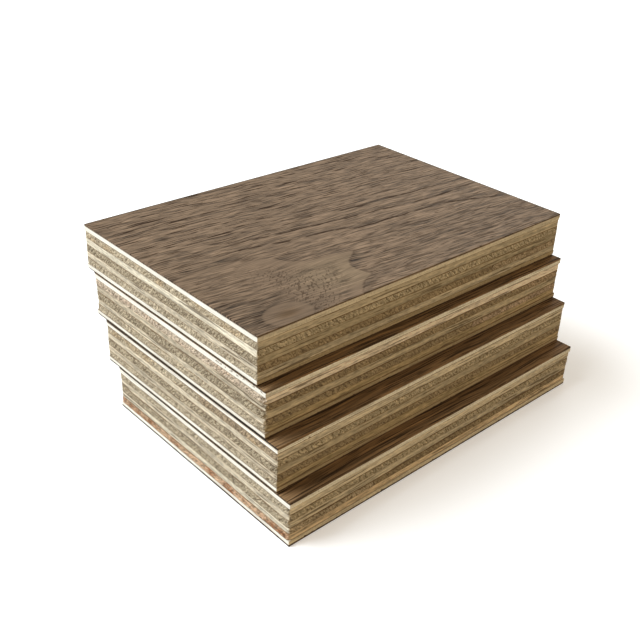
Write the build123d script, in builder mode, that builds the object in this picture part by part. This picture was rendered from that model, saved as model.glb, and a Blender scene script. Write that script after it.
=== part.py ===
from build123d import *
import math
import os

# Four small sheets of veneered plywood, stacked flat.
# Each sheet is nine plies glued with their grain crossed: a thin walnut veneer and a pale
# crossband on each side, and five core plies between them. Some core plies are pieced from two
# strips with an open joint, which shows on the sawn edges.
# The long edges run along X. The origin is the centre of the lowest sheet's underside, +Z up.

# One sheet, in millimetres.
SHEET_LENGTH = 152.0
SHEET_WIDTH = 101.0

# The lay-up of a sheet, from its underside up. The grain runs along the sheet or across it.
FACE_VENEER = 0.6
PLIES = (
    ("back_veneer", FACE_VENEER, "along"),
    ("lower_crossband", 1.6, "across"),
    ("core_ply_1", 2.65, "along"),
    ("core_ply_2", 2.45, "across"),
    ("core_ply_3", 3.0, "along"),
    ("core_ply_4", 2.6, "across"),
    ("core_ply_5", 2.7, "along"),
    ("upper_crossband", 1.8, "across"),
    ("face_veneer", FACE_VENEER, "along"),
)
SHEET_THICKNESS = sum(thickness for _, thickness, _ in PLIES)

# How each sheet lies over the lowest one: slid along X and Y, and turned a little.
SHEETS = (
    ("bottom_sheet", 0.0, 0.0, 0.0),
    ("third_sheet", -0.26, 6.47, 0.08),
    ("second_sheet", -0.50, 12.00, -0.05),
    ("top_sheet", -0.83, 15.72, -0.05),
)

# A pressed glue line is not flat: it rises and falls this much, over about these lengths.
GLUE_WAVE_HEIGHT = 0.11
GLUE_WAVE_ALONG = 105.0
GLUE_WAVE_ACROSS = 85.0
GLUE_POINTS_ALONG = 9
GLUE_POINTS_ACROSS = 7
GLUE_MARGIN = 6.0

# A core ply shrinks across its grain, so its sides stand back from the sawn face. Its sharp
# corners wear off, while the veneers and crossbands keep theirs.
SHRINK_LEAST = 0.06
SHRINK_SPREAD = 0.2
CORNER_LEAST = 0.25
CORNER_SPREAD = 0.45

# The core plies that are pieced from two strips. The joint runs with the grain, at this distance
# from the sheet's middle, and leans this many degrees from upright.
STRIP_JOINTS = {
    "top_sheet_core_ply_2": (36.0, 8.0),
    "second_sheet_core_ply_2": (23.0, -12.0),
    "second_sheet_core_ply_4": (56.0, 38.0),
    "third_sheet_core_ply_5": (-9.0, -50.0),
    "bottom_sheet_core_ply_2": (-38.0, 10.0),
    "bottom_sheet_core_ply_3": (-21.5, -24.0),
}
JOINT_GAP = 0.25


def uneven(seed):
    """A share from 0 to 1 that looks random and is the same each time."""
    return 0.5 + 0.5 * math.sin(12.9898 * seed)


def glue_height(x, y, seed):
    """Height of a glue line over its mean level, at a point of the sheet."""
    along = math.sin(2 * math.pi * x / GLUE_WAVE_ALONG + 2.4 * seed)
    across = math.cos(2 * math.pi * y / GLUE_WAVE_ACROSS + 5.0 * seed)
    return GLUE_WAVE_HEIGHT * (0.6 * along + 0.4 * across)


def glue_line(sheet, level, seed):
    """The gently waving surface on which two plies of a sheet meet, wider than the sheet."""
    half_length = SHEET_LENGTH / 2 + GLUE_MARGIN
    half_width = SHEET_WIDTH / 2 + GLUE_MARGIN
    rows = []
    for i in range(GLUE_POINTS_ALONG):
        x = half_length * (2 * i / (GLUE_POINTS_ALONG - 1) - 1)
        row = []
        for j in range(GLUE_POINTS_ACROSS):
            y = half_width * (2 * j / (GLUE_POINTS_ACROSS - 1) - 1)
            height = level + glue_height(x, y, seed)
            row.append(sheet.from_local_coords(Vector(x, y, height)))
        rows.append(row)
    return Face.make_surface_from_array_of_points(rows)


def sawn_outline(name, grain, seed):
    """Length, width and worn corner of a ply after the saw and the shrinkage."""
    if "core" not in name:
        return SHEET_LENGTH, SHEET_WIDTH, 0.0
    shrink = 2 * (SHRINK_LEAST + SHRINK_SPREAD * uneven(seed))
    corner = CORNER_LEAST + CORNER_SPREAD * uneven(seed + 0.5)
    if grain == "along":
        return SHEET_LENGTH, SHEET_WIDTH - shrink, corner
    return SHEET_LENGTH - shrink, SHEET_WIDTH, corner


def joint_side(sheet, grain, level, offset, lean):
    """The plane of one strip's side at a joint, facing away from the sheet's negative end."""
    facing = sheet.y_dir if grain == "along" else sheet.x_dir
    middle = sheet.origin + facing * offset + sheet.z_dir * level
    tilt = math.radians(lean)
    return Plane(middle, z_dir=facing * math.cos(tilt) + sheet.z_dir * math.sin(tilt))


def make_ply(name, sheet, bottom, top, glue_below, glue_above, outline, cut=None):
    """One ply, or one strip of it: a slice of the sheet between two glue lines.

    cut is a strip's side at the joint and which side of it the strip is on.
    """
    spare_below = GLUE_WAVE_HEIGHT if glue_below else 0.0
    spare_above = GLUE_WAVE_HEIGHT if glue_above else 0.0
    length, width, corner = outline
    with BuildPart() as ply:
        with BuildSketch(sheet.offset(bottom - spare_below)) as sawn_face:
            Rectangle(length, width)
            if corner > 0:
                chamfer(sawn_face.vertices(), length=corner)
        extrude(amount=top - bottom + spare_below + spare_above)
        if cut:
            split(bisect_by=cut[0], keep=cut[1])
        if glue_above:
            split(bisect_by=glue_above, keep=Keep.BOTTOM)
        if glue_below:
            split(bisect_by=glue_below, keep=Keep.TOP)
    ply.part.label = name
    export_step(ply.part, f"parts/{name}.step")


os.makedirs("parts", exist_ok=True)

for sheet_number, (sheet_name, slide_x, slide_y, turn) in enumerate(SHEETS):
    sheet_bottom = sheet_number * SHEET_THICKNESS
    sheet = Plane((slide_x, slide_y, sheet_bottom)).rotated((0, 0, turn))
    level = 0.0
    glue_below = None
    for ply_number, (ply_name, thickness, grain) in enumerate(PLIES):
        seed = ply_number + 1.7 * sheet_number
        name = f"{sheet_name}_{ply_name}"
        top = level + thickness
        is_last = ply_number == len(PLIES) - 1
        glue_above = None if is_last else glue_line(sheet, top, seed)
        outline = sawn_outline(ply_name, grain, seed)
        slice_of_sheet = (sheet, level, top, glue_below, glue_above, outline)
        if name in STRIP_JOINTS:
            offset, lean = STRIP_JOINTS[name]
            middle = (level + top) / 2
            near_side = joint_side(sheet, grain, middle, offset - JOINT_GAP / 2, lean)
            far_side = joint_side(sheet, grain, middle, offset + JOINT_GAP / 2, lean)
            make_ply(f"{name}_strip_1", *slice_of_sheet, cut=(near_side, Keep.BOTTOM))
            make_ply(f"{name}_strip_2", *slice_of_sheet, cut=(far_side, Keep.TOP))
        else:
            make_ply(name, *slice_of_sheet)
        level = top
        glue_below = glue_above
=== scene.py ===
# %% [markdown]
# A stack of four small plywood sheets, each nine plies thick, with walnut on its faces.
# This lesson dresses the measured solids of that stack: it sets up a camera and a small studio,
# works out a finish for every kind of wood from noise, and gives each ply a finely divided
# mesh, so that sawn edges, worn corners and open pores are real shapes.
# The first step loads the measured stack.

# %% Load the measured stack
import math

import bmesh
import bpy
import numpy as np
from mathutils import Matrix, Vector, noise
from mathutils.bvhtree import BVHTree
from mathutils.geometry import convex_hull_2d


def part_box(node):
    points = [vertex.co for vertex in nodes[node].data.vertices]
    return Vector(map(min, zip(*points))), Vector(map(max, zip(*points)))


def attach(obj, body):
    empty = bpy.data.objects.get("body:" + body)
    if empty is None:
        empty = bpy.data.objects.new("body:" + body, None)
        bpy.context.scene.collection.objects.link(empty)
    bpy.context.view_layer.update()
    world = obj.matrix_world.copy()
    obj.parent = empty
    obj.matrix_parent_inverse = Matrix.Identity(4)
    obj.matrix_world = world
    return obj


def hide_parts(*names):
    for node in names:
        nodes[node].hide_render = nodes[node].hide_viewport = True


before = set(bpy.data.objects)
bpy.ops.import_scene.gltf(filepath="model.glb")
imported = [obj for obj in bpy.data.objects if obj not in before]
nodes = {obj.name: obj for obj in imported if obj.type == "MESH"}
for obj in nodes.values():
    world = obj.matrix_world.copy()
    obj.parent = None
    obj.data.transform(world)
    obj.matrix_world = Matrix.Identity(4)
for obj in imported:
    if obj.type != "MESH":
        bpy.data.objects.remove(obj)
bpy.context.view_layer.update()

MM = 0.001

# %% [markdown]
# The camera stands in front of the stack's near corner, about as high over it as the view from
# a chair at a desk, and it is tilted by a hair. It could be aimed with a constraint, but a
# place and three angles say all of it, and they stay put when the stack changes. A lens of
# about 51 mm on a full-frame sensor gives the gentle convergence of a phone held close.

# %% The camera
CAMERA_PLACE = Vector((-219.4, -212.0, 208.2)) * MM
CAMERA_AZIMUTH = math.radians(-43.36)
CAMERA_ELEVATION = math.radians(29.77)
CAMERA_ROLL = math.radians(-2.69)
CAMERA_LENS = 50.8

away = Vector((
    math.sin(CAMERA_AZIMUTH) * math.cos(CAMERA_ELEVATION),
    -math.cos(CAMERA_AZIMUTH) * math.cos(CAMERA_ELEVATION),
    math.sin(CAMERA_ELEVATION),
))
level_right = Vector((0, 0, 1)).cross(away).normalized()
level_up = away.cross(level_right)
right = level_right * math.cos(CAMERA_ROLL) - level_up * math.sin(CAMERA_ROLL)
up = away.cross(right)

camera = bpy.data.objects.new("camera", bpy.data.cameras.new("camera"))
camera.data.lens = CAMERA_LENS
camera.data.clip_start = 10 * MM
camera.matrix_world = Matrix.Translation(CAMERA_PLACE) @ Matrix((right, up, away)).transposed().to_4x4()
bpy.context.scene.collection.objects.link(camera)
bpy.context.scene.camera = camera
bpy.context.scene.view_settings.view_transform = "Standard"
print("camera at", [round(v, 3) for v in camera.location], "with a lens of", camera.data.lens, "mm")

# %% [markdown]
# Every finish below is a sum of a few noises and masks. Written as boxes and wires that becomes
# hard to read, so one small class stands for an output socket and knows how to add, subtract
# and multiply: each operator makes the Math node that it means. Anything that is not arithmetic
# comes from one method, which takes the node's type, its settings and what its sockets hold.

# %% Arithmetic on sockets
class Signal:
    """An output socket that can be used in sums, such as 1 - mask. The first one in a tree has none yet."""

    def __init__(self, tree, socket=None):
        self.tree = tree
        self.socket = socket

    def node(self, kind, settings=None, inputs=None, output=0):
        """Adds a node, sets it up, then fills or links its sockets, and gives back one output."""
        made = self.tree.nodes.new(kind)
        for name, value in (settings or {}).items():
            setattr(made, name, value)
        for name, value in (inputs or {}).items():
            if isinstance(value, Signal):
                self.tree.links.new(value.socket, made.inputs[name])
            else:
                made.inputs[name].default_value = value
        return Signal(self.tree, made.outputs[output])

    def math(self, operation, *others):
        """A Math node on this signal and what follows it."""
        return self.node("ShaderNodeMath", {"operation": operation}, dict(enumerate((self, *others))))

    def at_least(self, other):
        """The larger of two signals, which lays one dark mark over another without adding them."""
        return self.math("MAXIMUM", other)

    def __add__(self, other):
        return self.math("ADD", other)

    def __radd__(self, other):
        return self.math("ADD", other)

    def __sub__(self, other):
        return self.math("SUBTRACT", other)

    def __rsub__(self, other):
        return self.node("ShaderNodeMath", {"operation": "SUBTRACT"}, {0: other, 1: self})

    def __mul__(self, other):
        return self.math("MULTIPLY", other)

    def __rmul__(self, other):
        return self.math("MULTIPLY", other)

    def __abs__(self):
        return self.math("ABSOLUTE")


print("signals add, subtract and multiply")

# %% [markdown]
# A few words on top of that class make the finishes read like sentences: a fade between two
# levels, a noise stretched by different amounts along each direction, strokes strewn like the
# pores of a wood, a blend of two colours. Wood looks like wood because its noise is long along
# the fibres and short across them. Noise seldom leaves its middle, so it is spread before use.

# %% Words for fades, noises and blends
def fade(value, start, end):
    """0 up to start and 1 from end on, with a soft step between them. Start may be the higher."""
    inputs = {"Value": value, "From Min": start, "From Max": end}
    return value.node("ShaderNodeMapRange", {"interpolation_type": "SMOOTHSTEP"}, inputs)


def vector(signal, operation, value):
    return signal.node("ShaderNodeVectorMath", {"operation": operation}, {0: signal, 1: value})


def stretched_noise(place, per_mm, detail=2.0, roughness=0.5):
    """Noise with that many features to the millimetre along each of its three directions."""
    inputs = {
        "Vector": vector(place, "MULTIPLY", per_mm),
        "Scale": 1.0,
        "Detail": detail,
        "Roughness": roughness,
    }
    return place.node("ShaderNodeTexNoise", {}, inputs)


def grain(place, per_mm, detail=3.0, roughness=0.6):
    """A stretched noise spread to run from about -1 to 1."""
    return (stretched_noise(place, per_mm, detail, roughness) - 0.5) * 4.5


def threads(place, per_mm, width):
    """Thin wandering lines: 1 where a noise passes its middle, 0 away from there."""
    level = stretched_noise(place, per_mm, detail=1.0)
    return fade(abs(level - 0.5), width, width * 0.3)


def strokes(place, per_mm, share):
    """Dark strokes, long along the first direction: 1 where a noise is below a share of its range."""
    return fade(stretched_noise(place, per_mm, detail=1.0), share, share - 0.06)


def blend(factor, first, second):
    """Mixes two colours. A factor of 0 gives the first one. Sockets 6 and 7 are the Mix node's colours."""
    first = first if isinstance(first, Signal) else (*first, 1)
    second = second if isinstance(second, Signal) else (*second, 1)
    inputs = {0: factor, 6: first, 7: second}
    return factor.node("ShaderNodeMix", {"data_type": "RGBA"}, inputs, output=2)


def shaded(colour, value):
    """A colour made lighter or darker by a value around 1."""
    return value.node("ShaderNodeVectorMath", {"operation": "SCALE"}, {0: colour, "Scale": value})


def split_axes(place):
    parts = place.node("ShaderNodeSeparateXYZ", {}, {0: place})
    outputs = parts.socket.node.outputs
    return [Signal(place.tree, outputs[axis]) for axis in range(3)]


def join_axes(x, y, z):
    return x.node("ShaderNodeCombineXYZ", {}, {0: x, 1: y, 2: z})


print("the words for a finish are ready")

# %% [markdown]
# A material starts with a place on the object in millimetres. Each ply adds its own shift to
# it, so that no two plies show the same piece of noise, and turns it so that the first
# direction always runs along the fibres. UV maps would do too, but a place in space needs no
# unwrapping and runs on round the corners, as wood does. The shader at the end is the same
# plain matt wood for all: only colour, roughness and the small relief change over the surface.

# %% Start and finish of a material
SPECULAR = 0.08


class Material:
    """A material that is being built, with the place on the object and the mesh's own marks."""

    def __init__(self, name):
        self.made = bpy.data.materials.new(name)
        self.made.use_nodes = True
        tree = self.made.node_tree
        self.shader = tree.nodes["Principled BSDF"]
        start = Signal(tree).node("ShaderNodeTexCoord", output="Object")
        self.place = vector(start, "MULTIPLY", (1 / MM,) * 3)

    def mark(self, name):
        """A number that the mesh carries at each of its corners."""
        return self.place.node("ShaderNodeAttribute", {"attribute_name": name}, output="Fac")

    def along_grain(self, direction, shift):
        """The place, shifted, and turned so that its first direction runs with the fibres."""
        place = vector(self.place, "ADD", shift)
        if direction == "along":
            return place
        x, y, z = split_axes(place)
        return join_axes(y, x, z)

    def finish(self, colour, roughness, relief, relief_height):
        """Links the finish to the shader. The relief is a height from 0 to 1."""
        inputs = {"Height": relief, "Distance": relief_height * MM, "Strength": 1.0}
        bumped = relief.node("ShaderNodeBump", {}, inputs)
        links = self.made.node_tree.links
        links.new(colour.socket, self.shader.inputs["Base Color"])
        links.new(roughness.socket, self.shader.inputs["Roughness"])
        links.new(bumped.socket, self.shader.inputs["Normal"])
        self.shader.inputs["Specular IOR Level"].default_value = SPECULAR
        return self.made


print("matt wood, with a specular level of", SPECULAR)

# %% [markdown]
# A core ply is a soft, pale hardwood, peeled off a log. On the two edges that its fibres meet,
# the saw shows end grain: darker, speckled with cut pores and crossed by slanting cracks, the
# lathe checks, which the peeling knife left a few millimetres apart. A saw-toothed wave makes
# them, because each one is sharp on one side and fades on the other. On the other two edges the
# fibres lie flat and show as long streaks. Each look is a lightness to multiply the ply's tone
# by, and a darkness that blends the pores in, so that any tone can wear it.

# %% End grain and long grain
CHECK_SPACING = 2.4
CHECK_SLANT = 0.85
CHECK_STRENGTH = 0.7


def end_grain_pattern(place, squiggles):
    """Lightness around 1 and darkness from 0 to 1 of wood that is cut across its fibres."""
    _, across, height = split_axes(place)
    bend = stretched_noise(place, (0.02, 0.16, 0.3), detail=1.0) * 6.0
    leaning = across + height * CHECK_SLANT
    slanted = join_axes(bend, leaning, height)
    sawtooth = ((leaning + bend) * (1 / CHECK_SPACING)).math("FRACT")
    present = fade(stretched_noise(place, (0.1, 0.30, 0.16), detail=1.0), 0.42, 0.54)
    crack = fade(sawtooth, 0.24, 0.06) * present * CHECK_STRENGTH
    speck = fade(stretched_noise(place, (0.3, 1.0, 1.3), detail=2.0), 0.56, 0.66)
    squiggle = threads(place, (0.1, 0.6, 0.75), 0.035) * squiggles
    rough = grain(slanted, (0.4, 1.3, 0.75), detail=2.0)
    bands = grain(place, (0.02, 0.14, 0.8), detail=2.0)
    pits = strokes(slanted, (0.0, 1.3, 0.5), 0.43) * squiggles
    lightness = 1.12 + rough * 0.50 + bands * 0.26 + (sawtooth - 0.5) * (0.4 * CHECK_STRENGTH)
    darkness = (speck * 0.8).at_least(crack).at_least(pits * 0.85).at_least(squiggle * 0.85)
    return lightness, darkness


def long_grain_pattern(place, strength):
    """The same for wood that is cut along its fibres."""
    streak = grain(place, (0.04, 1.0, 1.1)) * 0.42
    broad = grain(place, (0.012, 0.2, 0.4), detail=2.0) * 0.12
    fuzz = grain(place, (0.35, 1.5, 1.5), detail=1.0) * 0.28
    line = strokes(place, (0.05, 0.9, 1.1), 0.39) * 0.75
    return 1.04 + (streak + broad + fuzz) * strength, line * strength


print("lathe checks", CHECK_SPACING, "mm apart")

# %% [markdown]
# Now a ply's sawn edges as a whole. The mesh says which of the two looks a surface has and how
# far the glue line is. Two materials split over the faces would meet in a hard line at the
# corners. One material that blends both by that mark has no seam.
# A patch is a second tone that comes and goes on the end grain, where resin or heartwood shows.
# Near the glue lines the wood is stained, more here and less there.

# %% Core plies
GLUE_STAIN = (0.20, 0.13, 0.07)
PORE_DARK = (0.13, 0.095, 0.06)
CORE_RELIEF = 0.10
DARKEST_WOOD = 0.3


def core_wood(name, direction, shift, end_tone, long_tone, squiggles, patch=None):
    """The finish of a core ply. A patch is a tone, its features to the millimetre and its strength."""
    material = Material(name)
    place = material.along_grain(direction, shift)
    is_end = material.mark("end_grain")

    end_light, end_dark = end_grain_pattern(place, squiggles)
    long_light, long_dark = long_grain_pattern(place, 1.0)
    slow = grain(place, (0.02, 0.045, 0.05), detail=1.0)
    lightness = (long_light + (end_light - long_light) * is_end + slow * 0.05).at_least(DARKEST_WOOD)
    darkness = long_dark + (end_dark - long_dark) * is_end

    colour = blend(is_end, long_tone, end_tone)
    if patch:
        tone, per_mm, strength = patch
        stained = fade(stretched_noise(place, (0.02, per_mm, 0.25), detail=4.0), 0.47, 0.66)
        colour = blend(stained * is_end * strength, colour, tone)
    colour = blend(darkness, shaded(colour, lightness), PORE_DARK)
    glue_shows = fade(stretched_noise(place, (0.05, 0.09, 0.3), detail=2.0), 0.35, 0.65)
    glue = fade(material.mark("glue_distance"), 0.28, 0.08) * (0.35 + glue_shows * 0.5)
    colour = blend(glue, colour, GLUE_STAIN)
    return material.finish(colour, 0.72 + darkness * 0.15, (lightness - darkness) * 0.5, CORE_RELIEF)


print("core plies have a relief of", CORE_RELIEF, "mm in their finish, over the mesh's own")

# %% [markdown]
# A crossband is the thin pale ply next to each veneer. It is so soft that the saw smears its end
# grain into faint streaks along the sheet, so it borrows the long grain at a quarter of its
# strength and lays the streaks over it. Its glue lines are narrow, apart from three crossbands
# beside the gaps under the second and third sheets, whose wide dark glue lines are partly glue
# and partly painted shade of those gaps. The second sheet was knocked: chips are missing from its
# upper crossband at the left end, towards the near corner. They are painted dark, as painted shade
# of the broken hollows, and lie in a small box of space, found by three fades, which beats
# painting a mask by hand.

# %% Crossbands
CROSSBAND_LONG = (0.96, 0.95, 0.87)
CROSSBAND_RELIEF = 0.06
CROSSBAND_STREAKS = 0.25
CHIPPED = "second_sheet_upper_crossband"
CHIPS_X = (-74.5, -75.5)
CHIPS_Y = (-8.0, -14.0)
CHIPS_Z = (52.3, 52.9)
STAINED_AND_SHADED = ("second_sheet_lower_crossband", "third_sheet_lower_crossband", "third_sheet_upper_crossband")
HEAVY_STAIN_AND_SHADE = 0.8
LIGHT_STAIN = 0.25


def crossband_wood(name, shift, end_tone):
    material = Material(name)
    place = material.along_grain("across", shift)
    is_end = material.mark("end_grain")
    lightness, darkness = long_grain_pattern(place, CROSSBAND_STREAKS)
    smeared = grain(place, (0.3, 0.05, 1.3))
    lines = strokes(place, (0.3, 0.05, 1.1), 0.40)
    lightness = lightness + smeared * is_end * 0.24
    darkness = darkness.at_least(lines * is_end * 0.32)
    colour = shaded(blend(is_end, CROSSBAND_LONG, end_tone), lightness)
    colour = blend(darkness, colour, PORE_DARK)
    # The three crossbands by the gaps under the second and third sheets get wide dark glue lines: partly
    # glue, partly painted shade of those gaps.
    stain_and_shade = HEAVY_STAIN_AND_SHADE if name in STAINED_AND_SHADED else LIGHT_STAIN
    glue = fade(material.mark("glue_distance"), 0.20 + stain_and_shade * 0.2, 0.02 + stain_and_shade * 0.16)
    colour = blend(glue * (0.4 + stain_and_shade * 0.5), colour, GLUE_STAIN)
    if name == CHIPPED:
        x, y, z = split_axes(material.place)
        near = fade(y, *CHIPS_Y) * fade(x, *CHIPS_X) * fade(z, *CHIPS_Z)
        # The chips are not cut from the mesh: dark spots here are painted shade of the broken hollows.
        chip_shade = fade(stretched_noise(material.place, (0.1, 0.7, 0.9), detail=1.0), 0.58, 0.64)
        colour = blend(chip_shade * near * 0.65, colour, PORE_DARK)
    return material.finish(colour, 0.72 + darkness * 0.15, (lightness - darkness) * 0.5, CROSSBAND_RELIEF)


print("crossbands with a heavy glue stain:", ", ".join(STAINED_AND_SHADED))

# %% [markdown]
# Walnut is sliced thin and glued on as the face. Away from its growth rings it is streaks and
# pores: dark strokes of two lengths that lie with the fibres. Noise is worked out on a lattice,
# and long strokes would all end at the same lattice lines, in columns, so the place is
# staggered: each line across the grain starts a bit further along than the last. The top face
# also lies just where a plane of the lattice falls, and there noise is at its weakest, so the
# place is lifted off it. The thin edge of a veneer is end grain too, and keeps only a share of
# its light: a darker tone, and along the gaps between the lower sheets painted shade of the gap.
# The true normal tells that edge from the face beside it.

# %% Plain walnut
WALNUT_MEAN = (0.143, 0.098, 0.063)
WALNUT_DARK = (0.030, 0.016, 0.008)
WALNUT_LEDGE = (0.19, 0.115, 0.056)
# The back veneer is darker than the face: partly its own tone, partly painted shade of the gaps between the
# sheets that its thin edge lines.
WALNUT_BACK_AND_GAP_SHADE = (0.10, 0.062, 0.036)
WALNUT_RELIEF = 0.08
STAGGER = 2.6
OFF_LATTICE = 0.7
LEDGE_STRETCH = 0.45


def walnut_ground(place):
    """Lightness around 1, and long and short pores from 0 to 1, of walnut away from any rings."""
    x, y, z = split_axes(place)
    staggered = join_axes(x + y * STAGGER, y, z + OFF_LATTICE)
    broad = grain(staggered, (0.008, 0.13, 0.1), detail=2.0)
    streak = grain(staggered, (0.07, 1.3, 0.5), detail=1.0)
    fine = grain(staggered, (0.16, 1.65, 0.45), detail=1.0)
    lightness = 1.14 + broad * 0.08 + streak * 0.44 + fine * 0.52
    long_pores = strokes(staggered, (0.065, 1.25, 0.55), 0.425)
    short_pores = strokes(staggered, (0.19, 1.5, 0.95), 0.41)
    return lightness, long_pores, short_pores


def finish_walnut(material, colour, lightness, darkness):
    """Blends the pores into walnut and finishes it, a little rougher where they are."""
    colour = blend(darkness, colour, WALNUT_DARK)
    return material.finish(colour, 0.6 + darkness * 0.2, lightness * 0.4 - darkness * 0.5, WALNUT_RELIEF)


def plain_walnut(name, shift, tone, end_light):
    """Walnut as it shows on the ledges of the lower sheets and on the undersides."""
    material = Material(name)
    place = vector(material.place, "ADD", shift)
    x, y, z = split_axes(place)
    sway = stretched_noise(place, (0.02, 0.03, 0.03), detail=1.0)
    lie = join_axes(x * LEDGE_STRETCH, y + sway * 5.0, z)
    lightness, long_pores, short_pores = walnut_ground(lie)
    upright = split_axes(lie.node("ShaderNodeNewGeometry", output="True Normal"))[2]
    # On a veneer's edge the lightness falls to its given share; where that share is near zero, the dark is
    # painted shade of the gap between two sheets.
    on_end = fade(abs(upright), 0.8, 0.4) * material.mark("end_grain")
    lightness = lightness * (1.0 - on_end * (1.0 - end_light))
    darkness = (long_pores * 0.85).at_least(short_pores * 0.6)
    return finish_walnut(material, shaded(tone, lightness), lightness, darkness)


print("walnut in the tones", WALNUT_MEAN, WALNUT_LEDGE, WALNUT_BACK_AND_GAP_SHADE)

# %% [markdown]
# The top face shows one particular piece of walnut. Growth rings come to its surface as long
# dark lines, so they are drawn: a few points for each, in millimetres from the middle
# of the sheet, and how far along the sheet the ring begins to show. The last one is the edge of
# the flame, the pointed pale area towards the near corner. Noise alone would give likely rings,
# but not these ones, and four short lines are soon drawn.

# %% The rings of the top face
HIGH_RING = (
    (-80, 14.0), (-50, 11.0), (-20, 7.6), (-2, 6.1), (10, 3.6), (19, 2.2),
    (37, 1.4), (49, 0.2), (56, 0.1), (64, -1.4), (80, -4.3),
)
MIDDLE_RING = (
    (-80, 6.0), (-46, 4.2), (-35, 3.0), (-24, 1.0), (-11, -0.5), (1, -2.4),
    (14, -4.1), (31, -6.4), (44, -8.0), (57, -8.5), (80, -7.4),
)
LOW_RING = (
    (-80, -1.0), (-51, -0.7), (-40, -2.0), (-31, -4.5), (-20, -6.4), (-8, -8.0),
    (-2, -9.5), (1, -11.6), (10, -12.6), (31, -13.9), (44, -15.1), (51, -16.4),
    (56, -18.3), (63, -20.8), (70, -23.5), (80, -28.5),
)
FLAME = (
    (-82, -6.8), (-62, -5.8), (-51, -6.8), (-47, -9.6), (-40, -12.6), (-38, -15.6),
    (-35, -19.0), (-30, -21.6), (-22, -23.0), (-15, -24.4), (-13.4, -26.0), (-17, -28.3),
    (-20.5, -31.2), (-22, -35.6), (-21, -39.5), (-20.5, -42.0), (-28, -45.6), (-34, -53.0),
)
RINGS = {
    "high_ring": (HIGH_RING, -10),
    "middle_ring": (MIDDLE_RING, -44),
    "low_ring": (LOW_RING, -52),
    "flame_edge": (FLAME, -90),
}
print("points drawn for each ring:", {name: len(line) for name, (line, _) in RINGS.items()})

# %% [markdown]
# A distance to a drawn curve is easy to work out in code and hard to work out with nodes.
# So the mesh carries, for every ring, how far over or under it each of its corners lies, and
# the material reads that number. A curve through the drawn points keeps a ring from kinking.

# %% Heights over the rings
CURVE_PIECES = 6


def smooth_curve(line):
    """More points along a line, on a curve through the ones that were drawn."""
    ends = [line[0]] + list(line) + [line[-1]]
    made = []
    for p0, p1, p2, p3 in zip(ends, ends[1:], ends[2:], ends[3:]):
        for t in np.arange(CURVE_PIECES) / CURVE_PIECES:
            weights = (-t + 2 * t**2 - t**3, 2 - 5 * t**2 + 3 * t**3, t + 4 * t**2 - 3 * t**3, t**3 - t**2)
            made.append(np.array([p0, p1, p2, p3]).T @ weights / 2)
    return np.array(made + [line[-1]])


def height_over(curve, x, y):
    """Distance of each point to a curve, above zero over it and below zero under it."""
    nearest = np.full(x.shape, np.inf)
    signed = np.zeros(x.shape)
    for (ax, ay), (bx, by) in zip(curve, curve[1:]):
        length_squared = (bx - ax) ** 2 + (by - ay) ** 2
        share = np.clip(((x - ax) * (bx - ax) + (y - ay) * (by - ay)) / length_squared, 0, 1)
        dx = x - ax - share * (bx - ax)
        dy = y - ay - share * (by - ay)
        gap = np.hypot(dx, dy)
        side = np.sign((bx - ax) * dy - (by - ay) * dx)
        closer = gap < nearest
        nearest[closer] = gap[closer]
        signed[closer] = (gap * side)[closer]
    return signed


def mark_rings(mesh, middle):
    """Writes the height over each ring into the corners of the top face's mesh."""
    places = np.empty(len(mesh.vertices) * 3)
    mesh.vertices.foreach_get("co", places)
    x, y = (places.reshape(-1, 3)[:, :2] / MM - np.array(middle[:2]) / MM).T
    for name, (line, _) in RINGS.items():
        heights = height_over(smooth_curve(line), x, y).astype(np.float32)
        mesh.attributes.new(name, "FLOAT", "POINT").data.foreach_set("value", heights)


print("points on the smoothed edge of the flame:", len(smooth_curve(FLAME)))

# %% [markdown]
# The top face is finished in steps, as a decorator would grain a door: a ground, then the
# rings, then the flame and last the knot. Each step changes the lightness and the darkness that
# the steps before it left. The ground is the plain walnut, bent by a slow sway, and its long
# pores are darker on the far left. Everything is measured from the middle of the sheet.

# %% The ground of the top face
TOP_FACE = "top_sheet_face_veneer"


def centre(name):
    low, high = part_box(name)
    return (low + high) / 2


class TopFace:
    """The top face as it is being drawn: what the steps look up, and what they change."""

    def __init__(self, name, middle):
        self.material = Material(name)
        self.place = vector(self.material.place, "SUBTRACT", (middle[0] / MM, middle[1] / MM, 0.0))
        self.x, self.y, self.z = split_axes(self.place)
        self.sway = stretched_noise(self.place, (0.03, 0.05, 0.05), detail=2.0) * 5.0
        self.lie = join_axes(self.x, self.y + self.x * 0.06 + self.sway, self.z)
        self.colour = WALNUT_MEAN
        self.lightness, self.long_pores, short_pores = walnut_ground(self.lie)
        far_left = fade(self.y - self.x * 0.10, -6.0, 22.0)
        self.darkness = (self.long_pores * (0.55 + far_left * 0.45)).at_least(short_pores * 0.6)


def round_spot(x, y, place, size):
    """Distance from a place, as a share of the size of a spot there."""
    from_x = (x - place[0]) * (1 / size[0])
    from_y = (y - place[1]) * (1 / size[1])
    return (from_x * from_x + from_y * from_y).math("SQRT")


print("middle of the top face in mm:", [round(v / MM, 1) for v in centre(TOP_FACE)])

# %% [markdown]
# Each ring has three parts. Over it lies late wood, which is dark, then comes the line itself,
# broken here and there, and under it pale spring wood, which also has fewer pores. A ragged
# noise is added to the height before the fades, so that no edge is as smooth as it was drawn.

# %% Draw the rings
RAGGED = 2.2
RING_COMES = 8.0
RING_LINE = 0.95
FLAME_LINE = 0.35


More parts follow.
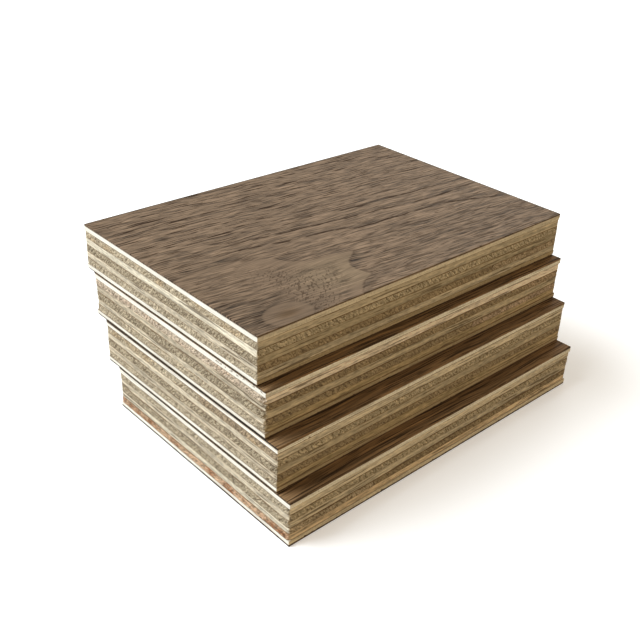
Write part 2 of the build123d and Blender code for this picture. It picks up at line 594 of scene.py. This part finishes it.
def draw_rings(face):
    ragged = stretched_noise(face.place, (0.15, 0.5, 1.0), detail=2.0) - 0.5
    broken = fade(stretched_noise(face.lie, (0.10, 0.3, 1.0), detail=2.0), 0.36, 0.52)
    for ring, (_, shows_from) in RINGS.items():
        height = face.material.mark(ring) + ragged * RAGGED
        shows = fade(face.x, shows_from - RING_COMES, shows_from + RING_COMES)
        late = fade(height, 4.0, 0.2) * fade(height, -0.3, 0.3) * shows
        spring = fade(height, -6.5, -0.6) * fade(height, -0.2, -0.6) * shows
        line = fade(abs(height), 0.70, 0.25) * broken * shows
        strength = FLAME_LINE if ring == "flame_edge" else RING_LINE
        face.lightness = face.lightness - late * 0.22 + spring * 0.12
        face.darkness = (face.darkness * (1.0 - spring * 0.5)).at_least(line * strength)


print("the edge of the flame is drawn at", FLAME_LINE, "of full dark, the rings at", RING_LINE)

# %% [markdown]
# Inside the flame the wood is tan and smooth along the rim. Further in, the fibres stand up
# towards the knot, so the pores are short and slant: the same strokes on a place that is turned
# in the plane. Its left end is deep brown again, and the near right of the sheet is a bit duller.

# %% Draw the flame
FLAME_TAN = (0.178, 0.127, 0.079)
SMOOTH_SPOT = {"place": (-28.0, -34.0), "size": (24.0, 17.0)}
DARK_SPOT = {"place": (-75.0, -36.0), "size": (26.0, 17.0)}
SWIRL_COSINE = 0.78
SWIRL_SINE = 0.62


def draw_flame(face):
    x, y = face.x, face.y
    edge = face.material.mark("flame_edge")
    inside = fade(edge, 0.4, -0.6)
    rim = inside * fade(edge, -7.0, -3.0) * (0.5 + 0.5 * fade(x, -64.0, -40.0))
    inner = inside * fade(edge, -4.0, -11.0) * fade(x, -62.0, -46.0)
    along = x * SWIRL_COSINE + y * SWIRL_SINE
    across = y * SWIRL_COSINE - x * SWIRL_SINE + face.sway * 2.0
    swirl = strokes(join_axes(along, across, face.z + OFF_LATTICE), (0.6, 1.35, 0.45), 0.44)
    face.darkness = (face.darkness * (1.0 - rim * 0.7) * (1.0 - inner)).at_least(swirl * inner * 0.55)
    face.lightness = face.lightness + (1.0 - face.lightness) * (rim * 0.5 + inner * 0.4)

    deep = inside * fade(round_spot(x, y, **DARK_SPOT), 1.0, 0.2)
    quiet = fade(x, -12.0, 40.0) * fade(y, -6.0, -34.0)
    face.lightness = face.lightness - deep * 0.26 + rim * 0.04 - quiet * 0.10
    face.darkness = face.darkness.at_least(face.long_pores * deep)
    glow = inside * fade(round_spot(x, y, **SMOOTH_SPOT), 1.0, 0.2)
    face.colour = blend(glow, face.colour, FLAME_TAN)


print("the smooth part of the flame lies at", SMOOTH_SPOT["place"])

# %% [markdown]
# The knot is a smooth lobe at the near edge with a dark heart and a ring of shade round it. A
# second, tiny one sits at the edge of the flame. Both are distances from a place, faded. At the
# end, the two far edges get a narrow dark line, as the broken arris of a veneer shows there.

# %% Draw the knot and finish the top face
KNOT = {"place": (-60.0, -45.5), "size": (9.5, 7.0)}
KNOT_CORE = {"place": (-60.0, -45.5), "size": (6.0, 3.0)}
TINY_KNOT = {"place": (-48.0, -8.6), "size": (2.6, 1.5)}
KNOT_HEART = (0.085, 0.05, 0.024)
FAR_EDGE_X = (75.1, 75.8)
FAR_EDGE_Y = (49.4, 50.2)


def draw_knot(face):
    from_knot = round_spot(face.x, face.y + face.sway * 0.3 - 0.7, **KNOT)
    knot = fade(from_knot, 1.0, 0.9)
    heart = fade(round_spot(face.x, face.y, **KNOT_CORE), 1.2, 0.1)
    shade = fade(from_knot, 1.5, 1.0) * fade(from_knot, 0.85, 1.0)
    tiny = fade(round_spot(face.x, face.y, **TINY_KNOT), 1.2, 0.3)
    face.colour = blend(knot * heart * 0.8, face.colour, KNOT_HEART)
    face.lightness = face.lightness + (1.03 - face.lightness) * (knot * 0.6) - shade * 0.25
    face.darkness = (face.darkness * (1.0 - knot * 0.85)).at_least(tiny * 0.45)


def figured_walnut(name, middle):
    face = TopFace(name, middle)
    draw_rings(face)
    draw_flame(face)
    draw_knot(face)
    far_edges = fade(face.x, *FAR_EDGE_X).at_least(fade(face.y, *FAR_EDGE_Y))
    darkness = face.darkness.at_least(far_edges * 0.6)
    return finish_walnut(face.material, shaded(face.colour, face.lightness), face.lightness, darkness)


print("the knot lies at", KNOT["place"], "mm from the middle of the sheet")

# %% [markdown]
# The plies meet on gently waving glue lines. A fine mesh has to follow them, so it asks the
# solid itself: a ray sent down finds the ply's upper side at a point, and one sent up finds
# its lower side. The outline is the hull of the solid's corners seen from above. Subdividing
# the solid's own mesh would be shorter, but its long thin faces divide badly.

# %% Ask the solid for its outline and its two sides
FAR = 1.0
SAME_CORNER = 0.05 * MM
REAL_TURN = 0.02
LOOK_INSIDE = (0.4 * MM, 1.5 * MM, 4 * MM)


def real_corners(hull):
    """The corners where an outline really turns, counter-clockwise."""
    steps = zip(hull[-1:] + hull[:-1], hull)
    apart = [here for before, here in steps if (here - before).length > SAME_CORNER]
    kept = []
    for before, here, after in zip(apart[-1:] + apart[:-1], apart, apart[1:] + apart[:1]):
        if abs((here - before).normalized().cross((after - here).normalized())) > REAL_TURN:
            kept.append(here)
    if sum(a.cross(b) for a, b in zip(kept, kept[1:] + kept[:1])) < 0:
        kept.reverse()
    return kept


class Solid:
    """What a fine mesh needs to know about a ply, from its one or two measured solids."""

    def __init__(self, names):
        depsgraph = bpy.context.evaluated_depsgraph_get()
        self.trees = [BVHTree.FromObject(nodes[name], depsgraph) for name in names]
        corners = [v.co for name in names for v in nodes[name].data.vertices]
        flat = [Vector((c.x, c.y)) for c in corners]
        self.outline = real_corners([flat[i] for i in convex_hull_2d(flat)])
        self.middle = sum(self.outline, Vector((0, 0))) / len(self.outline)
        self.low = min(c.z for c in corners)
        self.high = max(c.z for c in corners)

    def height(self, x, y, upper):
        """Height of the ply's upper or lower side over a point, looked up just inside the edge."""
        inward = (self.middle - Vector((x, y))).normalized()
        start_z, way = (FAR, -1) if upper else (-FAR, 1)
        for step in LOOK_INSIDE:
            start = Vector((x + inward.x * step, y + inward.y * step, start_z))
            hits = [tree.ray_cast(start, Vector((0, 0, way)))[0] for tree in self.trees]
            found = [hit.z for hit in hits if hit]
            if found:
                return max(found) if upper else min(found)
        return self.high if upper else self.low


top_solid = Solid([TOP_FACE])
print("corners of the top face:", len(top_solid.outline), "height in mm:", round(top_solid.high / MM, 2))

# %% [markdown]
# The sawn edge is a band of small faces round the outline, so the outline is walked in short
# steps first. Each point is then pushed in by a few hundredths of a millimetre, never out, so
# the piece stays inside its measured size. End grain is pitted like a sponge, long grain is
# combed into grooves, and the corners are bitten. Bump could fake all of that on a flat edge,
# but it leaves the silhouette straight, and in a close view a straight sawn edge looks wrong.

# %% The relief of a sawn edge
EDGE_STEP = 0.45 * MM
PORE_LEVEL = 0.40
BITE_REACH = 1.2


def walk_outline(outline):
    """Points round an outline about one step apart, each with its outward direction."""
    points, outward, normals = [], [], []
    following = outline[1:] + outline[:1]
    for start, end in zip(outline, following):
        along = (end - start).normalized()
        normals.append(Vector((along.y, -along.x)))
    for i, (start, end) in enumerate(zip(outline, following)):
        pieces = max(1, round((end - start).length / EDGE_STEP))
        corner_normal = (normals[i - 1] + normals[i]).normalized()
        points += [start.lerp(end, k / pieces) for k in range(pieces)]
        outward += [corner_normal] + [normals[i]] * (pieces - 1)
    return points, outward


def pit_depth(here, is_end):
    """How far a point of a sawn edge is pushed in. Places and depths are in millimetres."""
    if is_end:
        rough = noise.fractal(here * 1.2, 0.8, 2.1, 3)
        pore = max(0.0, noise.noise(here * 0.95) - PORE_LEVEL)
        return 0.05 + 0.07 * rough + 1.2 * pore
    combed = Vector((here.x * 0.07, here.y * 0.07, here.z * 1.7))
    return 0.035 + 0.055 * noise.fractal(combed, 0.9, 2.0, 2)


def corner_bite(here, to_corner, wear):
    """How far a corner is bitten away, in millimetres."""
    nearness = max(0.0, 1.0 - to_corner / (BITE_REACH + wear))
    return nearness ** 1.5 * wear * (0.55 + 0.9 * noise.noise(here * 0.9))


print("points round the top face:", len(walk_outline(top_solid.outline)[0]))

# %% [markdown]
# The band is made row by row from the underside up. Along each glue line the arris is broken by
# a narrow slope, which draws the dark hairline there. Every point also keeps two marks for the
# finish: whether it is end grain, and how far the nearest glue line is.

# %% The band of the sawn edge
ROW_STEP = 0.38 * MM
ARRIS = 0.06 * MM
SEED_STRIDE = 13.7
FAR_CORNER_WEAR = 0.06
END_GRAIN_FACING = 0.6


def row_heights(bottom, top, rows):
    """The heights of the rows at one point, from the ply's lower side to its upper one."""
    between = [bottom + ARRIS + (top - bottom - 2 * ARRIS) * (k / rows) for k in range(rows + 1)]
    return [bottom, *between, top]


def edge_rows(solid, ring, outward, fibre, seed, relief, wear, recess):
    """The points of the sawn edge, row by row from the underside up, and their marks."""
    rows = max(1, round((solid.high - solid.low - 2 * ARRIS) / ROW_STEP))
    columns = [row_heights(solid.height(p.x, p.y, False), solid.height(p.x, p.y, True), rows) for p in ring]
    last = len(columns[0]) - 1
    points, end_marks, glue_marks = [], [], []
    for row in range(last + 1):
        for p, n, column in zip(ring, outward, columns):
            z = column[row]
            here = Vector((p.x, p.y, z)) / MM + Vector((0, 0, SEED_STRIDE * seed))
            is_end = abs(n.dot(fibre)) > END_GRAIN_FACING
            to_corner = min((p - corner).length for corner in solid.outline) / MM
            is_near_corner = p.x < solid.middle.x and p.y < solid.middle.y
            bite = corner_bite(here, to_corner, wear if is_near_corner else FAR_CORNER_WEAR)
            depth = max(0.0, pit_depth(here, is_end)) * relief + max(0.0, bite) + recess
            depth = depth * MM + (ARRIS if row in (0, last) else 0.0)
            points.append((p.x - n.x * depth, p.y - n.y * depth, z))
            end_marks.append(1.0 if is_end else 0.0)
            glue_marks.append(min(z - column[0], column[-1] - z) / MM)
    return points, end_marks, glue_marks, last + 1


print("rows are", round(ROW_STEP / MM, 2), "mm high and steps", round(EDGE_STEP / MM, 2), "mm long")

# %% [markdown]
# A ply also needs its two lids. A lid is a grid inside the outline, stitched to the fine ring
# outside by a zip of triangles, which always steps along the side that lags. Lids between plies
# stay hidden, so eight-millimetre squares do. The top face gets small ones, because its corners
# carry the heights over the rings. Filling the outline with one big face would be quicker, but
# it couldn't follow the waves of a glue line.

# %% The lids of a ply
COARSE_LID = 8 * MM
FINE_LID = 0.8 * MM
LEAST_INSET = 0.9 * MM


def lid_grid(solid, upper, step):
    """A grid of points inside the outline, at the height of one side of the ply."""
    inset = max(step * 0.5, LEAST_INSET)
    ranges = []
    for axis in (0, 1):
        low = min(corner[axis] for corner in solid.outline) + inset
        high = max(corner[axis] for corner in solid.outline) - inset
        ranges.append(np.linspace(low, high, max(2, round((high - low) / step) + 1)))
    xs, ys = ranges
    points = [(x, y, solid.height(x, y, upper)) for y in ys for x in xs]
    return points, len(xs), len(ys)


def grid_border(columns, rows):
    """The indices round a grid, counter-clockwise from its first corner."""
    bottom = list(range(columns))
    right_side = [columns * r + columns - 1 for r in range(1, rows)]
    top = [columns * (rows - 1) + i for i in range(columns - 2, -1, -1)]
    left_side = [columns * r for r in range(rows - 2, 0, -1)]
    return bottom + right_side + top + left_side


def zip_rings(outer, inner, points):
    """Triangles between two closed rings, going round both at the same pace."""
    def from_low_corner(ring):
        start = min(range(len(ring)), key=lambda i: points[ring[i]][0] + points[ring[i]][1])
        return ring[start:] + ring[:start]

    outer, inner = from_low_corner(outer), from_low_corner(inner)
    faces, i, j = [], 0, 0
    while i < len(outer) or j < len(inner):
        a, b = outer[i % len(outer)], inner[j % len(inner)]
        next_a, next_b = outer[(i + 1) % len(outer)], inner[(j + 1) % len(inner)]
        reach_a = math.dist(points[next_a][:2], points[b][:2]) if i < len(outer) else FAR
        reach_b = math.dist(points[a][:2], points[next_b][:2]) if j < len(inner) else FAR
        if reach_a <= reach_b:
            faces.append((a, next_a, b))
            i += 1
        else:
            faces.append((a, next_b, b))
            j += 1
    return faces


print("squares of a coarse and a fine lid in mm:", round(COARSE_LID / MM, 1), round(FINE_LID / MM, 1))

# %% [markdown]
# With the band and the lids at hand, a ply is a list of points and a list of faces, which
# Blender takes as they are. The lower lid is turned over, so that its faces look down. The
# faces are shaded smooth, apart from edges that turn by more than forty degrees.

# %% Build one ply
SHARP_ANGLE = math.radians(40)


def band_faces(rows, size):
    """Squares between neighbouring rows, each row being a closed ring."""
    faces = []
    for row in range(rows - 1):
        for k in range(size):
            a, b = row * size + k, row * size + (k + 1) % size
            faces.append((a, b, b + size, a + size))
    return faces


def build_ply(name, solid, direction, seed, top_step, relief, wear, recess):
    """A finely divided ply in the place of its measured solids, with marks for its finish."""
    ring, outward = walk_outline(solid.outline)
    size = len(ring)
    fibre = Vector((1, 0)) if direction == "along" else Vector((0, 1))
    points, end_marks, glue_marks, rows = edge_rows(solid, ring, outward, fibre, seed, relief, wear, recess)
    faces = band_faces(rows, size)
    for upper, first, step in ((False, 0, COARSE_LID), (True, (rows - 1) * size, top_step)):
        lid, columns, lid_rows = lid_grid(solid, upper, step)
        start = len(points)
        points += lid
        end_marks += [0.0] * len(lid)
        glue_marks += [1.0] * len(lid)
        border = [start + i for i in grid_border(columns, lid_rows)]
        new = zip_rings(list(range(first, first + size)), border, points)
        for r in range(lid_rows - 1):
            for c in range(columns - 1):
                a = start + r * columns + c
                new.append((a, a + 1, a + columns + 1, a + columns))
        faces += new if upper else [tuple(reversed(face)) for face in new]

    mesh = bpy.data.meshes.new(name)
    mesh.from_pydata(points, [], faces)
    mesh.attributes.new("end_grain", "FLOAT", "POINT").data.foreach_set("value", end_marks)
    mesh.attributes.new("glue_distance", "FLOAT", "POINT").data.foreach_set("value", glue_marks)
    mesh.shade_smooth()
    mesh.set_sharp_from_angle(angle=SHARP_ANGLE)
    return mesh


print("edges stay sharp where they turn by more than", round(math.degrees(SHARP_ANGLE)), "degrees")

# %% [markdown]
# Six of the core plies are pieced from two strips. The fine mesh is built for the whole ply and
# cut twice, once on each side of the open joint, along the planes that the solids have there.
# A boolean would cut it too, but two planes are quicker and leave no stray faces.

# %% Cut a ply into its two strips
def joint_plane(name, other):
    """A point on the side that a strip turns to the other strip, and that side's direction."""
    mesh = nodes[name].data
    towards = centre(other) - centre(name)
    towards.z = 0
    towards.normalize()
    facing = [face for face in mesh.polygons if face.normal.dot(towards) > 0.5]
    largest = max(facing, key=lambda face: face.area)
    return mesh.vertices[largest.vertices[0]].co.copy(), largest.normal.copy()


def cut_strip(mesh, name, other):
    """The part of a ply's mesh on one strip's side of the joint, closed again."""
    point, direction = joint_plane(name, other)
    made = bmesh.new()
    made.from_mesh(mesh)
    everything = made.verts[:] + made.edges[:] + made.faces[:]
    bmesh.ops.bisect_plane(made, geom=everything, plane_co=point, plane_no=direction, clear_outer=True)
    rim = [edge for edge in made.edges if edge.is_boundary]
    bmesh.ops.holes_fill(made, edges=rim, sides=0)
    strip = bpy.data.meshes.new(name)
    made.to_mesh(strip)
    made.free()
    return strip


print("strips to cut:", sum("_strip_" in name for name in nodes))

# %% [markdown]
# Each ply has its own tones, as it comes from its own log. A few named tones serve all of them,
# so that a change to one carries through the stack. A core ply has one for its end grain and
# one for its long grain, a crossband only one for its end grain, upper and then lower. A strip
# may differ from its neighbour, and four plies show patches of a second tone.

# %% The tones of the plies
CREAM = (0.73, 0.68, 0.55)
PALE = (0.64, 0.575, 0.45)
BEIGE = (0.56, 0.495, 0.38)
TAN = (0.50, 0.435, 0.32)
GREY = (0.43, 0.37, 0.265)
BROWN = (0.345, 0.275, 0.18)
BLOND = (0.71, 0.645, 0.52)
OLIVE = (0.45, 0.36, 0.22)
PINK = (0.60, 0.51, 0.40)
PINK_PALE = (0.88, 0.79, 0.68)
RED = (0.60, 0.42, 0.28)
APRICOT = (0.78, 0.64, 0.46)
ORANGE = (0.50, 0.37, 0.22)
RUST = (0.30, 0.125, 0.055)
SALMON = (0.60, 0.47, 0.36)
CROSSBAND_GOLD = (0.86, 0.79, 0.63)
CROSSBAND_TAN = (0.75, 0.69, 0.57)
CROSSBAND_PALE = (0.94, 0.92, 0.84)
# The lower crossbands of the upper three sheets stand just over the ledge of the sheet below; their dark
# end tone is painted shade of that ledge.
CROSSBAND_IN_PAINTED_SHADE = (0.47, 0.385, 0.25)

TONES = {
    "top_sheet": {
        5: (TAN, BEIGE), 4: (TAN, CREAM), 3: (GREY, GREY), 2: (BROWN, PALE), 1: (TAN, BEIGE),
    },
    "second_sheet": {
        5: (PINK, PINK_PALE), 4: (BROWN, BEIGE), 3: (GREY, TAN), 2: (BROWN, PALE), 1: (TAN, OLIVE),
    },
    "third_sheet": {
        5: (TAN, BLOND), 4: (TAN, PALE), 3: (GREY, TAN), 2: (BROWN, BEIGE), 1: (TAN, OLIVE),
    },
    "bottom_sheet": {
        5: (TAN, BLOND), 4: (TAN, PALE), 3: (GREY, PALE), 2: (BROWN, CREAM), 1: (RED, APRICOT),
    },
}
CROSSBAND_ENDS = {
    "top_sheet": (CROSSBAND_TAN, CROSSBAND_IN_PAINTED_SHADE),
    "second_sheet": (CROSSBAND_PALE, CROSSBAND_IN_PAINTED_SHADE),
    "third_sheet": (CROSSBAND_PALE, CROSSBAND_IN_PAINTED_SHADE),
    "bottom_sheet": (CROSSBAND_PALE, CROSSBAND_GOLD),
}
STRIP_ENDS = {
    "top_sheet_core_ply_2_strip_2": (0.43, 0.35, 0.25),
    "second_sheet_core_ply_2_strip_2": (0.47, 0.37, 0.28),
    "second_sheet_core_ply_4_strip_2": (0.40, 0.31, 0.215),
    "third_sheet_core_ply_5_strip_1": (0.41, 0.33, 0.23),
    "bottom_sheet_core_ply_2_strip_1": (0.50, 0.42, 0.31),
}
FAINT_PATCH = (0.1, 0.6)
BOLD_PATCH = (0.17, 1.0)
PATCHES = {
    "top_sheet_core_ply_5": (ORANGE, *FAINT_PATCH),
    "second_sheet_core_ply_5": (SALMON, *FAINT_PATCH),
    "third_sheet_core_ply_5": (ORANGE, *FAINT_PATCH),
    "bottom_sheet_core_ply_1": (RUST, *BOLD_PATCH),
}
print("plies with patches of a second tone:", len(PATCHES))

# %% [markdown]
# One function picks the finish of a ply by its name. The edge of a veneer keeps only a share of
# its light, as its end grain is darker; where two sheets leave a dark gap, the near-black edges
# beside it are painted shade of that gap. Three core plies in the middle of a sheet show many
# squiggles, the cut ends of fibres that the saw tore.

# %% The finish of a ply
# Share of light kept by each veneer edge: darker end grain, and at 0.04 and 0.05 painted shade of the gaps
# under the second and third sheets.
VENEER_ENDS_AND_GAP_SHADE = {
    "top_sheet_back_veneer": 0.4,
    "second_sheet_face_veneer": 0.6,
    "second_sheet_back_veneer": 0.04,
    "third_sheet_face_veneer": 0.05,
    "third_sheet_back_veneer": 0.05,
    "bottom_sheet_face_veneer": 0.35,
    "bottom_sheet_back_veneer": 0.5,
}
SQUIGGLY = ("top_sheet_core_ply_3", "third_sheet_core_ply_3", "second_sheet_core_ply_3")
MANY_SQUIGGLES = 0.9
FEW_SQUIGGLES = 0.5
ACROSS = ("upper_crossband", "lower_crossband", "core_ply_2", "core_ply_4")


def fibre_direction(ply):
    return "across" if ply in ACROSS else "along"


def ply_finish(sheet, ply, strip, shift):
    """The material of one ply, or of one strip of it."""
    name = f"{sheet}_{ply}"
    if name == TOP_FACE:
        return figured_walnut(name, centre(name))
    if "veneer" in ply:
        tone = WALNUT_LEDGE if ply == "face_veneer" else WALNUT_BACK_AND_GAP_SHADE
        return plain_walnut(name, shift, tone, VENEER_ENDS_AND_GAP_SHADE[name])
    if "crossband" in ply:
        return crossband_wood(name, shift, CROSSBAND_ENDS[sheet][ply.startswith("lower")])
    end_tone, long_tone = TONES[sheet][int(ply[-1])]
    end_tone = STRIP_ENDS.get(name + strip, end_tone)
    squiggles = MANY_SQUIGGLES if name in SQUIGGLY else FEW_SQUIGGLES
    patch = PATCHES.get(name)
    return core_wood(name + strip, fibre_direction(ply), shift, end_tone, long_tone, squiggles, patch)


print("plies whose fibres run across the sheet:", ", ".join(ACROSS))

# %% [markdown]
# Plies differ in shape as well. The second sheet from the top was knocked at its near corner,
# so its core is worn the most there. The thin veneers and crossbands hardly wear. Veneers are
# hard, so they take less relief too, and on the upper three sheets the back veneer lies a bit
# behind the edge, as if it had been sanded.

# %% The shape of a ply
WEAR = {"top_sheet": 0.15, "second_sheet": 0.8, "third_sheet": 0.4, "bottom_sheet": 0.35}
OUTER_WEAR = 0.08
VENEER_EDGE_RELIEF = 0.4
BACK_RECESS = {"top_sheet": 0.3, "second_sheet": 0.2, "third_sheet": 0.2, "bottom_sheet": 0.0}


def solids_of(ply_name):
    """The names of the solids that a ply was measured as: its own, or those of its two strips."""
    if ply_name in nodes:
        return [ply_name]
    return [f"{ply_name}_strip_1", f"{ply_name}_strip_2"]


def whole_ply(sheet, ply, seed):
    """The fine mesh of a ply before it is cut, and for the top face with its rings."""
    name = f"{sheet}_{ply}"
    is_top = name == TOP_FACE
    mesh = build_ply(
        name, Solid(solids_of(name)), fibre_direction(ply), seed,
        top_step=FINE_LID if is_top else COARSE_LID,
        relief=VENEER_EDGE_RELIEF if "veneer" in ply else 1.0,
        wear=WEAR[sheet] if "core" in ply else OUTER_WEAR,
        recess=BACK_RECESS[sheet] if ply == "back_veneer" else 0.0,
    )
    if is_top:
        mark_rings(mesh, centre(name))
    return mesh


print("corner wear in mm:", WEAR)

# %% [markdown]
# Now the stack is put together from the floor up. Every fine ply takes the place of the solid
# or the two strips that it was measured from, rides with the one body that the stack is, and
# gets its finish. Its number gives it its own stretch of noise, far from that of its neighbours,
# and the second strip of a ply lies fifty millimetres further on.

# %% Make every ply
PLY_NAMES = (
    "back_veneer", "lower_crossband", "core_ply_1", "core_ply_2", "core_ply_3", "core_ply_4",
    "core_ply_5", "upper_crossband", "face_veneer",
)
STRIDE = (37.0, 23.0, 5.3)
ACROSS_WRAP = 91
STRIP_STRIDE = 50.0


def noise_shift(seed, strip):
    """How far a ply, or a strip of it, is moved through the noise, in millimetres."""
    along, across, upward = [seed * stride for stride in STRIDE]
    return (along, across % ACROSS_WRAP, upward + STRIP_STRIDE * strip.endswith("2"))


triangles = 0
for sheet_number, sheet in enumerate(reversed(WEAR)):
    for ply_number, ply in enumerate(PLY_NAMES):
        ply_name = f"{sheet}_{ply}"
        seed = len(PLY_NAMES) * sheet_number + ply_number
        names = solids_of(ply_name)
        mesh = whole_ply(sheet, ply, seed)
        meshes = [mesh] if len(names) == 1 else [cut_strip(mesh, a, b) for a, b in (names, names[::-1])]
        for node_name, part in zip(names, meshes):
            strip = node_name.removeprefix(ply_name)
            part.materials.append(ply_finish(sheet, ply, strip, noise_shift(seed, strip)))
            piece = bpy.data.objects.new("fine_" + node_name, part)
            bpy.context.scene.collection.objects.link(piece)
            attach(piece, "root")
            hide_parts(node_name)
            triangles += sum(len(face.vertices) - 2 for face in part.polygons)
    print(sheet, "is built;", triangles, "triangles so far")

# %% [markdown]
# The stage is a pale floor that reaches past the view. A white floor would throw cold light on
# the stack, and a tan one would look tan, so it is both. The camera sees it pale, with some
# light of its own, so that it comes out white where the stack doesn't shade it and keeps the
# soft shadow. The light that it throws back on the stack is a warm tan, as from a wooden bench.

# %% The floor
FLOOR_SIZE = 6.0
FLOOR_DROP = 0.05 * MM
FLOOR_SEEN = (0.85, 0.85, 0.85, 1)
FLOOR_BOUNCE = (0.30, 0.22, 0.13, 1)
FLOOR_GLOW = 0.36
WHITE = (1, 1, 1, 1)
SEEN_RAYS = ("Camera", "Glossy", "Transmission")

half = FLOOR_SIZE / 2
floor_corners = [(-half, -half, 0), (half, -half, 0), (half, half, 0), (-half, half, 0)]
floor_mesh = bpy.data.meshes.new("floor")
floor_mesh.from_pydata(floor_corners, [], [(0, 1, 2, 3)])
floor = bpy.data.objects.new("floor", floor_mesh)
floor.location.z = -FLOOR_DROP
bpy.context.scene.collection.objects.link(floor)


def show_and_light(tree, lighting, seen, end):
    """One shader is what the camera sees, straight, in a mirror or through glass. The other one lights."""
    rays = [Signal(tree).node("ShaderNodeLightPath", output=f"Is {kind} Ray") for kind in SEEN_RAYS]
    direct = (rays[0] + rays[1] + rays[2]).math("MINIMUM", 1.0)
    mixed = direct.node("ShaderNodeMixShader", inputs={0: direct, 1: lighting, 2: seen})
    tree.links.new(mixed.socket, tree.nodes[end].inputs["Surface"])


floor_finish = bpy.data.materials.new("floor")
floor_finish.use_nodes = True
pale = floor_finish.node_tree.nodes["Principled BSDF"]
pale.inputs["Base Color"].default_value = FLOOR_SEEN
pale.inputs["Roughness"].default_value = 0.9
pale.inputs["Specular IOR Level"].default_value = 0.0
pale.inputs["Emission Color"].default_value = WHITE
pale.inputs["Emission Strength"].default_value = FLOOR_GLOW
pale_shader = Signal(floor_finish.node_tree, pale.outputs[0])
tan_shader = pale_shader.node("ShaderNodeBsdfDiffuse", inputs={"Color": FLOOR_BOUNCE})
show_and_light(floor_finish.node_tree, tan_shader, pale_shader, "Material Output")
floor_mesh.materials.append(floor_finish)
print("the floor is", FLOOR_SIZE, "m wide and lies", round(FLOOR_DROP / MM, 2), "mm under the stack")

# %% [markdown]
# The sky is a dim warm light from everywhere, which keeps the shaded edges from going dead. What
# the camera sees of it is plain white, as on a page of a catalogue, by the same trick as on the
# floor: one shader is seen and another one lights.

# %% The sky
SKY_COLOUR = (1.0, 0.81, 0.55, 1)
SKY_STRENGTH = 0.31

world = bpy.data.worlds.new("studio")
world.use_nodes = True
bpy.context.scene.world = world
ambient = world.node_tree.nodes["Background"]
ambient.inputs["Color"].default_value = SKY_COLOUR
ambient.inputs["Strength"].default_value = SKY_STRENGTH
warm_sky = Signal(world.node_tree, ambient.outputs[0])
white_sky = warm_sky.node("ShaderNodeBackground", inputs={"Color": WHITE})
show_and_light(world.node_tree, warm_sky, white_sky, "World Output")
print("the sky lights with a strength of", SKY_STRENGTH)

# %% [markdown]
# One large lamp stands to the left and a little behind, so the short edges are bright and the
# long ones in shade. A weak warm lamp in front opens that shade, and a weak cool one on the
# right lights the far side. Large lamps give the soft-edged shadow of a window, and a small one
# would give a hard one.

# %% The lamps
STACK_MIDDLE = Vector((0, 0, 30 * MM))


def lamp(name, place, size, watts, colour):
    """A square soft lamp at a place, turned to the middle of the stack."""
    made = bpy.data.lights.new(name, "AREA")
    made.size = size
    made.energy = watts
    made.color = colour
    obj = bpy.data.objects.new(name, made)
    obj.location = place
    obj.rotation_euler = (STACK_MIDDLE - Vector(place)).to_track_quat("-Z", "Y").to_euler()
    bpy.context.scene.collection.objects.link(obj)
    print(name, "lights with", watts, "watts from", place)


lamp("window", (-1.16, 1.00, 1.62), size=1.6, watts=83.0, colour=(0.86, 0.93, 1.0))
lamp("warm_fill", (0.35, -1.3, 0.5), size=0.8, watts=3.2, colour=(1.0, 0.79, 0.50))
lamp("far_window", (1.45, 0.75, 0.90), size=0.8, watts=4.2, colour=(0.95, 0.98, 1.0))
